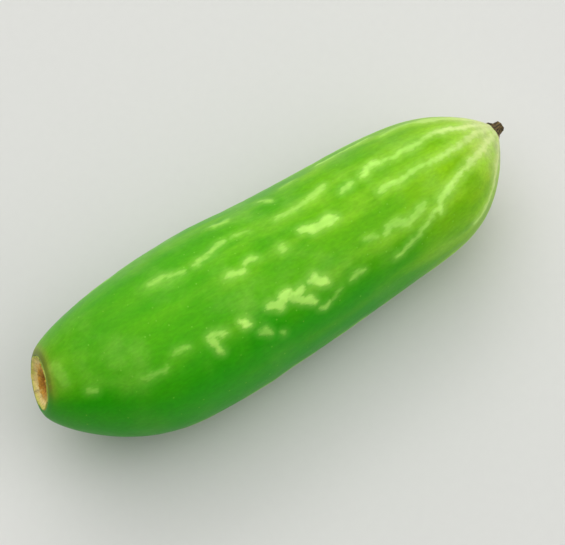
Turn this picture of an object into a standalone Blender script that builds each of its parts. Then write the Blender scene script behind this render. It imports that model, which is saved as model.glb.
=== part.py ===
"""One ivy gourd as picked, lying on its belly on a table.

The fruit grew in one piece, so it is one closed solid: a body turned about a bent axis,
a dished stem scar with a raised collar at one end and the dried style at the other.
Frame: metres, +Z up, +X from the stem scar to the blossom end, and the convex side of the
bend faces -Y. The origin is on the table, under the middle of the fruit's box.
"""

from bisect import bisect_left
from math import atan2, cos, exp, hypot, pi, radians, sin

import bpy
from mathutils import Vector
from mathutils.geometry import interpolate_bezier

# Driving dimensions
LENGTH = 0.061  # chord of the bent axis, from the stem scar to where the flesh would come to a point
BODY_RADIUS = 0.0098  # at the widest section
WIDEST_AT = 0.38  # share of the axis from the stem scar
NECK_FULLNESS = 1.38  # 1 narrows the body to the scar along a parabola, 2 along an ellipse
BLOSSOM_TAPER = 0.23  # share of its radius that the body loses on its way to the tip
BLOSSOM_FULLNESS = 7.2  # the higher, the blunter the blossom end

# The bend: a Bezier axis. Yaw is in plan, towards -Y, and pitch is in elevation.
STEM_HANDLE = 0.010
STEM_YAW = radians(16)
STEM_PITCH = radians(15)
STEM_RISE = 0.0011  # the scar's centre above the origin of the axis
TIP_HANDLE = 0.030
TIP_YAW = radians(6)
TIP_PITCH = radians(1)
TIP_DROP = 0.0020

# The stem scar, as radii about the axis and depths inwards from the collar's crest
COLLAR_RADIUS = 0.0035
COLLAR_CREST_RADIUS = 0.0030
SCAR_RING_RADIUS = 0.0017
SCAR_PIT_RADIUS = 0.0007
SCAR_FLOOR_DEPTH = 0.0007
SCAR_RING_DEPTH = 0.0004
SCAR_PIT_DEPTH = 0.0013
COLLAR_HEIGHT = 0.00025  # crest above the plane where the body begins

# The dried style left on the tip
STYLE_FOOT_RADIUS = 0.0011  # where it grows out of the flesh
STYLE_WAIST_RADIUS = 0.0009
STYLE_END_RADIUS = 0.00075
STYLE_LENGTH = 0.0006  # beyond the point that the flesh tapers to

# Departures from a turned body
LOBE_COUNT = 5
LOBE_DEPTH = 0.00007  # at the stem end
LOBE_DEPTH_AT_BLOSSOM = 0.00016
LOBE_PHASE = radians(20)
HEEL_HEIGHT = 0.0016  # the convex side is fuller near the stem
HEEL_AT = 0.15
HEEL_SPAN = 0.14
CHIN_HEIGHT = 0.0019  # and again at the blossom end
CHIN_AT = 0.93
CHIN_SPAN = 0.175

FLAT_DEPTH = 0.00025  # how far the belly is flattened where it rests

# Mesh
STEPS_AROUND = 64
BODY_RINGS = 46
STYLE_RINGS = 4
AXIS_SAMPLES = 600
POLE_GAP = 1e-6  # merge distance, in metres

SKIN_GREEN = (0.105, 0.420, 0.012, 1.0)
SCAR_TAN = (0.480, 0.240, 0.055, 1.0)
STYLE_BROWN = (0.040, 0.022, 0.010, 1.0)


def clear_scene():
    """Empties the scene that the script is run in."""
    for thing in list(bpy.data.objects):
        bpy.data.objects.remove(thing, do_unlink=True)


def body_radius(share):
    """Radius of the flesh at a share of the axis, which swells from the collar and tapers to the tip."""
    if share <= WIDEST_AT:
        back = (WIDEST_AT - share) / WIDEST_AT
        return COLLAR_RADIUS + (BODY_RADIUS - COLLAR_RADIUS) * (1 - back**2) ** (1 / NECK_FULLNESS)
    onward = (share - WIDEST_AT) / (1 - WIDEST_AT)
    return BODY_RADIUS * (1 - BLOSSOM_TAPER * onward) * (1 - onward**BLOSSOM_FULLNESS)


def style_profile():
    """(radius, station) of the dried style, a blunt peg, from its end down to its foot."""
    end = LENGTH + STYLE_LENGTH
    dome = [
        (STYLE_END_RADIUS * sin(angle), end - STYLE_END_RADIUS / 2 * (1 - cos(angle)))
        for angle in (pi / 2 * k / STYLE_RINGS for k in range(STYLE_RINGS + 1))
    ]
    return [*dome, (STYLE_WAIST_RADIUS, LENGTH - STYLE_LENGTH / 2)]


def body_profile():
    """(radius, station) of the flesh, from the style's foot to the collar. Rings are closer at the ends."""
    points = []
    for k in range(1, BODY_RINGS):
        share = (1 + cos(pi * k / BODY_RINGS)) / 2
        radius = body_radius(share)
        if radius >= STYLE_FOOT_RADIUS:
            points.append((radius, share * LENGTH))
    return points


def scar_profile():
    """(radius, station) of the stem scar: over the collar, into the dish, over the ring, into the pit."""
    crest = -COLLAR_HEIGHT
    half_way_in = (COLLAR_CREST_RADIUS + SCAR_RING_RADIUS) / 2
    return [
        (COLLAR_RADIUS, 0.0),
        ((COLLAR_RADIUS + COLLAR_CREST_RADIUS) / 2, crest * 0.8),
        (COLLAR_CREST_RADIUS, crest),
        (COLLAR_CREST_RADIUS * 0.9, crest + SCAR_FLOOR_DEPTH * 0.4),
        (half_way_in, crest + SCAR_FLOOR_DEPTH),
        (SCAR_RING_RADIUS, crest + SCAR_RING_DEPTH),
        ((SCAR_RING_RADIUS + SCAR_PIT_RADIUS) / 2, crest + SCAR_FLOOR_DEPTH),
        (SCAR_PIT_RADIUS, crest + SCAR_PIT_DEPTH * 0.85),
        (0.0, crest + SCAR_PIT_DEPTH),
    ]


def turned_body():
    """The straight, round fruit standing on its scar: the profile turned about Z by a Screw modifier."""
    profile = [(r, 0.0, z) for r, z in style_profile() + body_profile() + scar_profile()]
    mesh = bpy.data.meshes.new("gourd_profile")
    mesh.from_pydata(profile, [(k, k + 1) for k in range(len(profile) - 1)], [])
    turned = bpy.data.objects.new("gourd_profile", mesh)
    bpy.context.scene.collection.objects.link(turned)
    screw = turned.modifiers.new("Turn", "SCREW")
    screw.axis = "Z"
    screw.angle = 2 * pi
    screw.steps = screw.render_steps = STEPS_AROUND
    screw.use_merge_vertices = True
    screw.merge_threshold = POLE_GAP
    bpy.context.view_layer.update()
    graph = bpy.context.evaluated_depsgraph_get()
    body = bpy.data.meshes.new_from_object(turned.evaluated_get(graph))
    bpy.data.objects.remove(turned, do_unlink=True)
    bpy.data.meshes.remove(mesh)
    return body


class BentAxis:
    """The axis that the sections are threaded on, measured by length along it."""

    def __init__(self):
        stem = Vector((0, 0, STEM_RISE))
        tip = Vector((LENGTH, 0, -TIP_DROP))
        into_body = Vector((cos(STEM_YAW), -sin(STEM_YAW), -sin(STEM_PITCH)))
        back_from_tip = Vector((-cos(TIP_YAW), -sin(TIP_YAW), -sin(TIP_PITCH)))
        self.points = interpolate_bezier(
            stem,
            stem + into_body * STEM_HANDLE,
            tip + back_from_tip * TIP_HANDLE,
            tip,
            AXIS_SAMPLES,
        )
        self.lengths = [0.0]
        for before, after in zip(self.points, self.points[1:]):
            self.lengths.append(self.lengths[-1] + (after - before).length)

    def at(self, share):
        """(point, tangent) at a share of the axis. Beyond its ends the axis goes straight on."""
        total = self.lengths[-1]
        along = share * total
        k = min(max(bisect_left(self.lengths, along), 1), len(self.points) - 1)
        before, after = self.points[k - 1], self.points[k]
        part = (along - self.lengths[k - 1]) / (self.lengths[k] - self.lengths[k - 1])
        return before.lerp(after, part), (after - before).normalized()


def hump(share, middle, span):
    """1 at the middle, falling away smoothly to either side."""
    return exp(-(((share - middle) / span) ** 2))


def swelling(share, around):
    """How far the skin stands off a turned body: faint lobes, and a heel and chin on the convex side."""
    depth = LOBE_DEPTH + (LOBE_DEPTH_AT_BLOSSOM - LOBE_DEPTH) * share
    lobes = depth * cos(LOBE_COUNT * around + LOBE_PHASE)
    convex_side = ((1 - cos(around)) / 2) ** 2
    heel = HEEL_HEIGHT * hump(share, HEEL_AT, HEEL_SPAN)
    chin = CHIN_HEIGHT * hump(share, CHIN_AT, CHIN_SPAN)
    return lobes + (heel + chin) * convex_side


def bend(body):
    """Threads the turned body on the bent axis. The angle round it is 0 on the concave side, at +Y."""
    axis = BentAxis()
    for vertex in body.vertices:
        x, y, station = vertex.co
        radius = hypot(x, y)
        around = atan2(y, x)
        share = station / LENGTH
        point, tangent = axis.at(share)
        side = Vector((0, 0, 1)).cross(tangent).normalized()
        up = tangent.cross(side)
        inward = radius / BODY_RADIUS  # the swelling fades out towards the poles
        radius += swelling(share, around) * inward
        vertex.co = point + side * (radius * cos(around)) + up * (radius * sin(around))


def rest_on_belly(body):
    """Flattens the belly a little where it meets the table, and centres the fruit over the origin."""
    lows = [min(v.co[k] for v in body.vertices) for k in range(3)]
    highs = [max(v.co[k] for v in body.vertices) for k in range(3)]
    table = lows[2] + FLAT_DEPTH
    for vertex in body.vertices:
        vertex.co.x -= (lows[0] + highs[0]) / 2
        vertex.co.y -= (lows[1] + highs[1]) / 2
        vertex.co.z = max(vertex.co.z - table, 0.0)


def surface(name, colour, roughness):
    """A plain material for one kind of surface."""
    material = bpy.data.materials.new(name)
    material.use_nodes = True
    shader = material.node_tree.nodes["Principled BSDF"]
    shader.inputs["Base Color"].default_value = colour
    shader.inputs["Roughness"].default_value = roughness
    shader.inputs["Metallic"].default_value = 0.0
    material.diffuse_color = colour
    return material


def paint(body):
    """Gives the skin, the scar's dish and the dried style of the straight body their own materials."""
    body.materials.append(surface("gourd_skin", SKIN_GREEN, 0.32))
    body.materials.append(surface("stem_scar_cork", SCAR_TAN, 0.75))
    body.materials.append(surface("dried_style", STYLE_BROWN, 0.85))
    for face in body.polygons:
        radius = hypot(face.center.x, face.center.y)
        in_dish = face.center.z < SCAR_PIT_DEPTH and radius < COLLAR_CREST_RADIUS * 0.9
        on_style = face.center.z > LENGTH - STYLE_LENGTH / 2
        face.material_index = 1 if in_dish else 2 if on_style else 0


def build():
    """Builds the fruit in a collection of its own."""
    clear_scene()
    collection = bpy.data.collections.new("ivy_gourd")
    bpy.context.scene.collection.children.link(collection)
    body = turned_body()
    paint(body)
    bend(body)
    rest_on_belly(body)
    body.name = "gourd"
    body.shade_smooth()
    gourd = bpy.data.objects.new("gourd", body)
    collection.objects.link(gourd)


build()
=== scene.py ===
"""The looks of one ivy gourd: striped waxy skin, the cork of its stem scar and the dried style on its tip.

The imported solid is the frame. Every piece is made in metres in the same frame: +X runs from the stem
scar to the blossom end, -Y is the convex side of the bend and +Z points up from the table.
"""

from __future__ import annotations

import logging
import math
from dataclasses import dataclass, field
from enum import Enum
from functools import partial

import bpy
import numpy as np
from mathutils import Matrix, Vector


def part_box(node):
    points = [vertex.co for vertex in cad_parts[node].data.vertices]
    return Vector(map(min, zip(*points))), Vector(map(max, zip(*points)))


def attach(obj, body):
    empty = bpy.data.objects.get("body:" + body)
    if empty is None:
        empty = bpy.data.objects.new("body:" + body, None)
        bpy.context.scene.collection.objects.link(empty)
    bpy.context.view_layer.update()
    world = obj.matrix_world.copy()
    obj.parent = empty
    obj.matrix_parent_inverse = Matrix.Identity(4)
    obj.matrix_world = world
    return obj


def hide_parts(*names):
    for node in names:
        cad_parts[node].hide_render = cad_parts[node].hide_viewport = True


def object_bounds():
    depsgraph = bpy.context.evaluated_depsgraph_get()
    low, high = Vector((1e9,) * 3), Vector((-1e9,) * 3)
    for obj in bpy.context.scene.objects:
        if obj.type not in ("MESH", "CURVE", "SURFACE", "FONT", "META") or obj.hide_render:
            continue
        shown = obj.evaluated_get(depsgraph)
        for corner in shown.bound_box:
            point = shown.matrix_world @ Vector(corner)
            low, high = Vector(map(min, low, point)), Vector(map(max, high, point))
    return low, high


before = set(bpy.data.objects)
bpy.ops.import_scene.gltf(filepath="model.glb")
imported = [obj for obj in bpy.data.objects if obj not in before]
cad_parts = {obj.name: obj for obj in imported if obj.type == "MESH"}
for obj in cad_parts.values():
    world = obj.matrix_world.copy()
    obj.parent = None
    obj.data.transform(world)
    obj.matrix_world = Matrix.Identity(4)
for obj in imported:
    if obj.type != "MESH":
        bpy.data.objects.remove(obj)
CAD_LOW, CAD_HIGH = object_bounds()

MM = 0.001
WELD = 1e-7  # metres within which the two sides of a seam are one point
TINY = 1e-9  # keeps a division from being by zero
AXIS_STEPS = 600  # stretches that the bent axis is drawn with
HALVINGS = 40  # of the stretch of axis that the style's foot is looked for in
PEN = logging.getLogger("ivy_gourd")

Socket = bpy.types.NodeSocket
Tree = bpy.types.NodeTree
Values = dict[int | str, object]
Stops = tuple[tuple[float, str], ...]
Outline = tuple[tuple[float, float], ...]
Profile = tuple[tuple[float, float, float], ...]
Range = tuple[float, ...]  # from two values, and to another two where they aren't 0 and 1

MATH, VECTOR, MIX = "ShaderNodeMath", "ShaderNodeVectorMath", "ShaderNodeMix"
NOISE, RAMP, SPAN = "ShaderNodeTexNoise", "ShaderNodeValToRGB", "ShaderNodeMapRange"
STORE = "GeometryNodeStoreNamedAttribute"
RGBA = {"data_type": "RGBA"}
SOFT = {"interpolation_type": "SMOOTHSTEP"}


class Slot(Enum):
    """The record's material slots, one for each kind of tissue."""

    SKIN = "gourd_skin"
    CORK = "stem_scar_cork"
    STYLE = "dried_style"


def linear(code: str) -> tuple[float, float, float, float]:
    """Turns an sRGB colour into the linear one that shaders take.

    Args:
        code: the colour as "#RRGGBB".

    Returns:
        Red, green, blue and an alpha of 1.
    """
    shares = [int(code[k : k + 2], 16) / 255 for k in (1, 3, 5)]
    red, green, blue = (c / 12.92 if c <= 0.04045 else ((c + 0.055) / 1.055) ** 2.4 for c in shares)
    return red, green, blue, 1.0


def connect(tree: Tree, node: bpy.types.Node, inputs: Values) -> None:
    """Links or sets a node's inputs.

    Args:
        tree: the node's tree.
        node: the node.
        inputs: what each input takes, by name or number: a socket, a node for its first output in use,
            or a value.
    """
    for name, value in inputs.items():
        if isinstance(value, bpy.types.Node):
            value = next(output for output in value.outputs if output.enabled)
        if isinstance(value, Socket):
            tree.links.new(value, node.inputs[name])
        else:
            node.inputs[name].default_value = value


def add_node(tree: Tree, kind: str, inputs: Values | tuple = (), **settings: object) -> bpy.types.Node:
    """Adds one node to a tree, with its settings and links.

    Args:
        tree: the tree that the node goes in.
        kind: the node's type.
        inputs: what the inputs take, in their order, or by name or number as connect has it.
        settings: the node's own properties.

    Returns:
        The new node.
    """
    node = tree.nodes.new(kind)
    for name, value in settings.items():
        setattr(node, name, value)
    connect(tree, node, inputs if isinstance(inputs, dict) else dict(enumerate(inputs)))
    return node


def new_tree(name: str, **sizes: tuple[str, ...]) -> tuple[Tree, dict[str, Socket]]:
    """Starts a Geometry Nodes tree with named inputs.

    Args:
        name: the tree's name.
        sizes: the inputs' names, for each kind of socket.

    Returns:
        The tree, and each input's socket inside it.
    """
    tree = bpy.data.node_groups.new(name, "GeometryNodeTree")
    for kind, names in sizes.items():
        for size in names:
            tree.interface.new_socket(size, in_out="INPUT", socket_type=f"NodeSocket{kind}")
    tree.interface.new_socket("Geometry", in_out="OUTPUT", socket_type="NodeSocketGeometry")
    entry = tree.nodes.new("NodeGroupInput")
    return tree, {size: entry.outputs[size] for names in sizes.values() for size in names}


def close_tree(tree: Tree, geometry: Socket, material: Socket) -> None:
    """Ends a tree: what it made becomes real, smooth and dressed.

    Args:
        tree: the tree to end.
        geometry: what it made.
        material: the material that the mesh takes.
    """
    real = add_node(tree, "GeometryNodeRealizeInstances", {"Geometry": geometry})
    smooth = add_node(tree, "GeometryNodeSetShadeSmooth", {"Geometry": real})
    dressed = add_node(tree, "GeometryNodeSetMaterial", {"Geometry": smooth, "Material": material})
    add_node(tree, "NodeGroupOutput", {"Geometry": dressed})


def add_object(name: str, data: bpy.types.ID) -> bpy.types.Object:
    """Puts a mesh, a curve, a light or a camera in the scene.

    Args:
        name: the object's name.
        data: what the object shows.

    Returns:
        The object, at the origin.
    """
    thing = bpy.data.objects.new(name, data)
    bpy.context.scene.collection.objects.link(thing)
    return thing


def grown(name: str, tree: Tree, sizes: dict[str, object]) -> bpy.types.Object:
    """Runs a tree once and keeps what it makes as a plain mesh.

    Args:
        name: the piece's name.
        tree: the Geometry Nodes tree.
        sizes: a value for each of the tree's named inputs.

    Returns:
        The piece, at the origin and with no modifier.
    """
    source = add_object(f"{name}_source", bpy.data.meshes.new(f"{name}_source"))
    modifier = source.modifiers.new("Grow", "NODES")
    modifier.node_group = tree
    for item in tree.interface.items_tree:
        if item.in_out == "INPUT":
            modifier[item.identifier] = sizes[item.name]
    graph = bpy.context.evaluated_depsgraph_get()
    mesh = bpy.data.meshes.new_from_object(
        source.evaluated_get(graph), preserve_all_data_layers=True, depsgraph=graph
    )
    mesh.name = name
    bpy.data.objects.remove(source, do_unlink=True)
    return add_object(name, mesh)


def turned_tree() -> Tree:
    """The tree of every turned form on the fruit: a profile swept round a bent axis.

    A profile curve's X is the radius, its Y is how far the convex side stands out beyond that, and its Z
    is the station along the axis. The seam and the poles are welded, and each point keeps its station.

    Returns:
        The tree.
    """
    tree, size = new_tree(
        "turned_on_bent_axis",
        Object=("Profile",),
        Int=("Rings", "Steps Around"),
        Float=(
            "End Crowding", "Axis Length", "Full Radius", "Lobes", "Lobe Depth", "Lobe Depth at Blossom",
            "Lobe Phase", "Lump Height", "Lump Size", "Lump Detail",
        ),
        Vector=("Axis Start", "Start Handle", "End Handle", "Axis End"),
        Material=("Material",),
    )
    add = partial(add_node, tree)

    # A flat grid, one row of points for each ring, with both of its sides measured from 0 to 1
    cells = {"Size X": 1.0, "Size Y": 1.0, "Vertices X": size["Rings"], "Vertices Y": size["Steps Around"]}
    grid = add("GeometryNodeMeshGrid", cells)
    position = add("GeometryNodeInputPosition")
    shares = add(VECTOR, (position, (0.5, 0.5, 0.0)), operation="ADD")
    split = add("ShaderNodeSeparateXYZ", (shares,))
    along, turn = split.outputs["X"], split.outputs["Y"]

    # Rings stand closer at both ends of the profile
    cycle = add(MATH, (along, math.tau), operation="MULTIPLY")
    wave = add(MATH, (cycle,), operation="SINE")
    pull = add(MATH, (size["End Crowding"], -1 / math.tau), operation="MULTIPLY")
    factor = add(MATH, (wave, pull, along), operation="MULTIPLY_ADD")
    drawn = add("GeometryNodeObjectInfo", {"Object": size["Profile"]}).outputs["Geometry"]
    sample = add("GeometryNodeSampleCurve", {"Curves": drawn, "Factor": factor}, mode="FACTOR")
    point = add("ShaderNodeSeparateXYZ", (sample.outputs["Position"],))
    radius, fullness, station = point.outputs

    # The point and the direction of the axis there. Beyond its ends the axis goes straight on
    bend = {
        "Resolution": AXIS_STEPS,
        "Start": size["Axis Start"],
        "Start Handle": size["Start Handle"],
        "End Handle": size["End Handle"],
        "End": size["Axis End"],
    }
    axis = add("GeometryNodeCurvePrimitiveBezierSegment", bend, mode="POSITION")
    share = add(MATH, (station, size["Axis Length"]), operation="DIVIDE")
    inside = add("ShaderNodeClamp", (share,))
    spot = add("GeometryNodeSampleCurve", {"Curves": axis, "Factor": inside}, mode="FACTOR")
    tangent = spot.outputs["Tangent"]
    beyond = add(MATH, (share, inside), operation="SUBTRACT")
    reach = add(MATH, (beyond, size["Axis Length"]), operation="MULTIPLY")
    run_on = add(VECTOR, {0: tangent, "Scale": reach}, operation="SCALE")
    centre = add(VECTOR, (spot.outputs["Position"], run_on), operation="ADD")

    # The two directions across the section: towards the concave side, and up
    across = add(VECTOR, ((0, 0, 1), tangent), operation="CROSS_PRODUCT")
    side = add(VECTOR, (across,), operation="NORMALIZE")
    up = add(VECTOR, (tangent, side), operation="CROSS_PRODUCT")
    angle = add(MATH, (turn, math.tau), operation="MULTIPLY")
    cosine = add(MATH, (angle,), operation="COSINE")
    sine = add(MATH, (angle,), operation="SINE")

    # Lobes, and the fuller convex side
    lobe_angle = add(MATH, (angle, size["Lobes"], size["Lobe Phase"]), operation="MULTIPLY_ADD")
    lobe_wave = add(MATH, (lobe_angle,), operation="COSINE")
    depths = size["Lobe Depth"], size["Lobe Depth at Blossom"]
    lobe_depth = add(SPAN, (share, 0.0, 1.0, *depths), clamp=False)
    half = add(MATH, (cosine, -0.5, 0.5), operation="MULTIPLY_ADD")
    convex = add(MATH, (half, half), operation="MULTIPLY")
    fuller = add(MATH, (convex, fullness), operation="MULTIPLY")
    swelling = add(MATH, (lobe_wave, lobe_depth, fuller), operation="MULTIPLY_ADD")
    inward = add(MATH, (radius, size["Full Radius"]), operation="DIVIDE")
    swollen = add(MATH, (swelling, inward, radius), operation="MULTIPLY_ADD")

    # Each point's place on the section
    side_by = add(MATH, (swollen, cosine), operation="MULTIPLY")
    up_by = add(MATH, (swollen, sine), operation="MULTIPLY")
    sideways = add(VECTOR, {0: side, "Scale": side_by}, operation="SCALE")
    upwards = add(VECTOR, {0: up, "Scale": up_by}, operation="SCALE")
    off_axis = add(VECTOR, (sideways, upwards), operation="ADD")
    place = add(VECTOR, (centre, off_axis), operation="ADD")

    # What the points keep: their own map, their station and their angle, which a weld at the seam averages
    geometry = grid.outputs["Mesh"]
    for name, value, kind, domain in (
        ("UVMap", add("ShaderNodeCombineXYZ", (turn, along)), "FLOAT2", "CORNER"),
        ("station", station, "FLOAT", "POINT"),
        ("radius", radius, "FLOAT", "POINT"),
        ("turn_cosine", cosine, "FLOAT", "POINT"),
        ("turn_sine", sine, "FLOAT", "POINT"),
    ):
        noted = {"Geometry": geometry, "Name": name, "Value": value}
        geometry = add(STORE, noted, data_type=kind, domain=domain).outputs["Geometry"]
    bent = add("GeometryNodeSetPosition", {"Geometry": geometry, "Position": place})
    welded = add("GeometryNodeMergeByDistance", {"Geometry": bent, "Distance": WELD})

    # Soft lumps, out and in along the surface's own direction, fading out towards the poles
    rate = add(MATH, (1.0, size["Lump Size"]), operation="DIVIDE")
    noise = add(NOISE, {"Scale": rate, "Detail": size["Lump Detail"], "Roughness": 0.5})
    swing = add(MATH, (noise, 2.0, -1.0), operation="MULTIPLY_ADD")
    kept_radius = add("GeometryNodeInputNamedAttribute", {"Name": "radius"}, data_type="FLOAT")
    fade = add(SPAN, (kept_radius, 0.0, size["Full Radius"]))
    lump = add(MATH, (swing, size["Lump Height"]), operation="MULTIPLY")
    faded = add(MATH, (lump, fade), operation="MULTIPLY")
    normal = add("GeometryNodeInputNormal")
    shift = add(VECTOR, {0: normal, "Scale": faded}, operation="SCALE")
    lumpy = add("GeometryNodeSetPosition", {"Geometry": welded, "Offset": shift})
    close_tree(tree, lumpy, size["Material"])
    return tree


def bundle_tree() -> Tree:
    """The tree of the vascular bundles' torn ends: uneven stubs set round a ring in the scar.

    Returns:
        The tree.
    """
    tree, size = new_tree(
        "bundle_ends_round_a_ring",
        Int=("Bundles", "Seed"),
        Float=(
            "Ring Radius", "Stub Radius", "Stub Taper", "Stub Height", "Least Growth", "Most Growth",
            "Roughness", "Clumps", "Cork Radius",
        ),
        Vector=("Stray", "Lean", "Place", "Turn"),
        Material=("Material",),
    )
    add = partial(add_node, tree)
    circle = {"Vertices": size["Bundles"], "Radius": size["Ring Radius"]}
    ring = add("GeometryNodeMeshCircle", circle)
    stray, lean = (
        add(
            "FunctionNodeRandomValue",
            {
                "Min": add(VECTOR, {0: size[most], "Scale": -1.0}, operation="SCALE"),
                "Max": size[most],
                "Seed": size["Seed"],
            },
            data_type="FLOAT_VECTOR",
        ).outputs["Value"]
        for most in ("Stray", "Lean")
    )
    strayed = add("GeometryNodeSetPosition", {"Geometry": ring, "Offset": stray})

    # One stub, a narrow cone with a torn top
    tip_radius = add(MATH, (size["Stub Radius"], size["Stub Taper"]), operation="MULTIPLY")
    cone = {
        "Vertices": 20,
        "Side Segments": 12,
        "Fill Segments": 4,
        "Radius Top": tip_radius,
        "Radius Bottom": size["Stub Radius"],
        "Depth": size["Stub Height"],
    }
    stub = add("GeometryNodeMeshCone", cone).outputs["Mesh"]
    extent = {2: size["Least Growth"], 3: size["Most Growth"], "Seed": size["Seed"]}
    growth = add("FunctionNodeRandomValue", extent).outputs[1]
    spread = {"Points": strayed, "Instance": stub, "Rotation": lean, "Scale": growth}
    stubs = add("GeometryNodeInstanceOnPoints", spread)
    real = add("GeometryNodeRealizeInstances", {"Geometry": stubs})

    # Torn unevenly: every stub is pushed about by fine noise
    rate = add(MATH, (size["Clumps"], size["Stub Radius"]), operation="DIVIDE")
    tear = add(NOISE, {"Scale": rate, "Detail": 3.0}).outputs["Color"]
    centred = add(VECTOR, (tear, (0.5, 0.5, 0.5)), operation="SUBTRACT")
    push = add(VECTOR, {0: centred, "Scale": size["Roughness"]}, operation="SCALE")
    torn = add("GeometryNodeSetPosition", {"Geometry": real, "Offset": push})
    noted = {"Geometry": torn, "Name": "radius_mm", "Value": size["Cork Radius"]}
    corky = add(STORE, noted, data_type="FLOAT", domain="POINT")
    seat = {"Geometry": corky, "Translation": size["Place"], "Rotation": size["Turn"]}
    placed = add("GeometryNodeTransform", seat)
    close_tree(tree, placed, size["Material"])
    return tree


@dataclass(frozen=True)
class FruitShape:
    """The fruit's own form, with the sizes that the solid was built to."""

    length: float = 61 * MM
    body_radius: float = 9.8 * MM
    widest_at: float = 0.38
    neck_fullness: float = 1.38
    blossom_taper: float = 0.23
    blossom_fullness: float = 7.2
    stem_handle: float = 10 * MM
    stem_yaw: float = math.radians(16)
    stem_pitch: float = math.radians(15)
    stem_rise: float = 1.1 * MM
    tip_handle: float = 30 * MM
    tip_yaw: float = math.radians(6)
    tip_pitch: float = math.radians(1)
    tip_drop: float = 2.0 * MM
    collar_radius: float = 3.5 * MM
    crest_radius: float = 3.0 * MM
    collar_height: float = 0.25 * MM
    style_foot: float = 1.1 * MM
    heel: tuple[float, float, float] = (1.6 * MM, 0.15, 0.14)  # height, middle and span as shares
    chin: tuple[float, float, float] = (1.9 * MM, 0.93, 0.175)
    lobes: int = 5
    lobe_depth: float = 0.07 * MM
    lobe_depth_at_blossom: float = 0.16 * MM
    lobe_phase: float = math.radians(20)
    flat_depth: float = 0.25 * MM

    def radius(self, share: float) -> float:
        """Works out the radius of the flesh.

        Args:
            share: the place on the axis, from 0 at the stem scar to 1.

        Returns:
            The radius there, in metres.
        """
        if share <= self.widest_at:
            back = (self.widest_at - share) / self.widest_at
            swell = (1 - back**2) ** (1 / self.neck_fullness)
            return self.collar_radius + (self.body_radius - self.collar_radius) * swell
        onward = (share - self.widest_at) / (1 - self.widest_at)
        return self.body_radius * (1 - self.blossom_taper * onward) * (1 - onward**self.blossom_fullness)

    def fullness(self, share: float) -> float:
        """How much further the convex side stands out there, at the heel and at the chin."""
        humps = (self.heel, self.chin)
        return sum(height * math.exp(-(((share - middle) / span) ** 2)) for height, middle, span in humps)

    def foot_share(self) -> float:
        """Finds where the flesh has narrowed to the dried style's foot.

        Returns:
            The share of the axis there.
        """
        low, high = self.widest_at, 1.0
        for _ in range(HALVINGS):
            middle = (low + high) / 2
            low, high = (middle, high) if self.radius(middle) > self.style_foot else (low, middle)
        return low

    def stem(self) -> Vector:
        """Where the axis begins, in the middle of the scar."""
        return Vector((0, 0, self.stem_rise))

    def into_body(self) -> Vector:
        """The direction of the axis at the scar, into the body."""
        return Vector((math.cos(self.stem_yaw), -math.sin(self.stem_yaw), -math.sin(self.stem_pitch)))

    def axis(self) -> dict[str, object]:
        """The bent axis, a cubic curve.

        Returns:
            The tree's inputs for it.
        """
        stem, into_body = self.stem(), self.into_body()
        tip = Vector((self.length, 0, -self.tip_drop))
        from_tip = Vector((-math.cos(self.tip_yaw), -math.sin(self.tip_yaw), -math.sin(self.tip_pitch)))
        return {
            "Axis Length": self.length,
            "Axis Start": stem,
            "Start Handle": stem + into_body * self.stem_handle,
            "End Handle": tip + from_tip * self.tip_handle,
            "Axis End": tip,
        }


def profile_curve(name: str, points: Profile) -> bpy.types.Object:
    """Draws a profile for the turned tree.

    Args:
        name: the curve's name.
        points: radius, extra fullness and station of each point, in metres.

    Returns:
        The curve object, which is removed once the piece is grown.
    """
    curve = bpy.data.curves.new(name, "CURVE")
    curve.dimensions = "3D"
    spline = curve.splines.new("POLY")
    spline.points.add(len(points) - 1)
    for knot, point in zip(spline.points, points):
        knot.co = (*point, 1.0)
    return add_object(name, curve)


def arc(start: tuple[float, float], end: tuple[float, float], bulge: float, steps: int) -> Outline:
    """Points on a shallow arc from start to end, both left out of it.

    Args:
        start: radius and station of the first end.
        end: radius and station of the other.
        bulge: how far the arc's middle lies from the chord, to its left.
        steps: how many stretches it has.

    Returns:
        The points between the two ends.
    """
    a, b = np.array(start), np.array(end)
    chord = b - a
    left = np.array((-chord[1], chord[0])) / np.hypot(*chord)
    shares = np.arange(1, steps) / steps
    return tuple(tuple(a + chord * t + left * bulge * 4 * t * (1 - t)) for t in shares)


@dataclass(frozen=True)
class Fleck:
    """One pale fleck in the skin: a ragged stroke.

    Attributes:
        path: points along it, as millimetres from the stem scar and degrees round from the concave side.
        width: millimetres across, at its widest.
        paleness: 1 for the palest.
    """

    path: tuple[tuple[float, float], ...]
    width: float
    paleness: float


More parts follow.
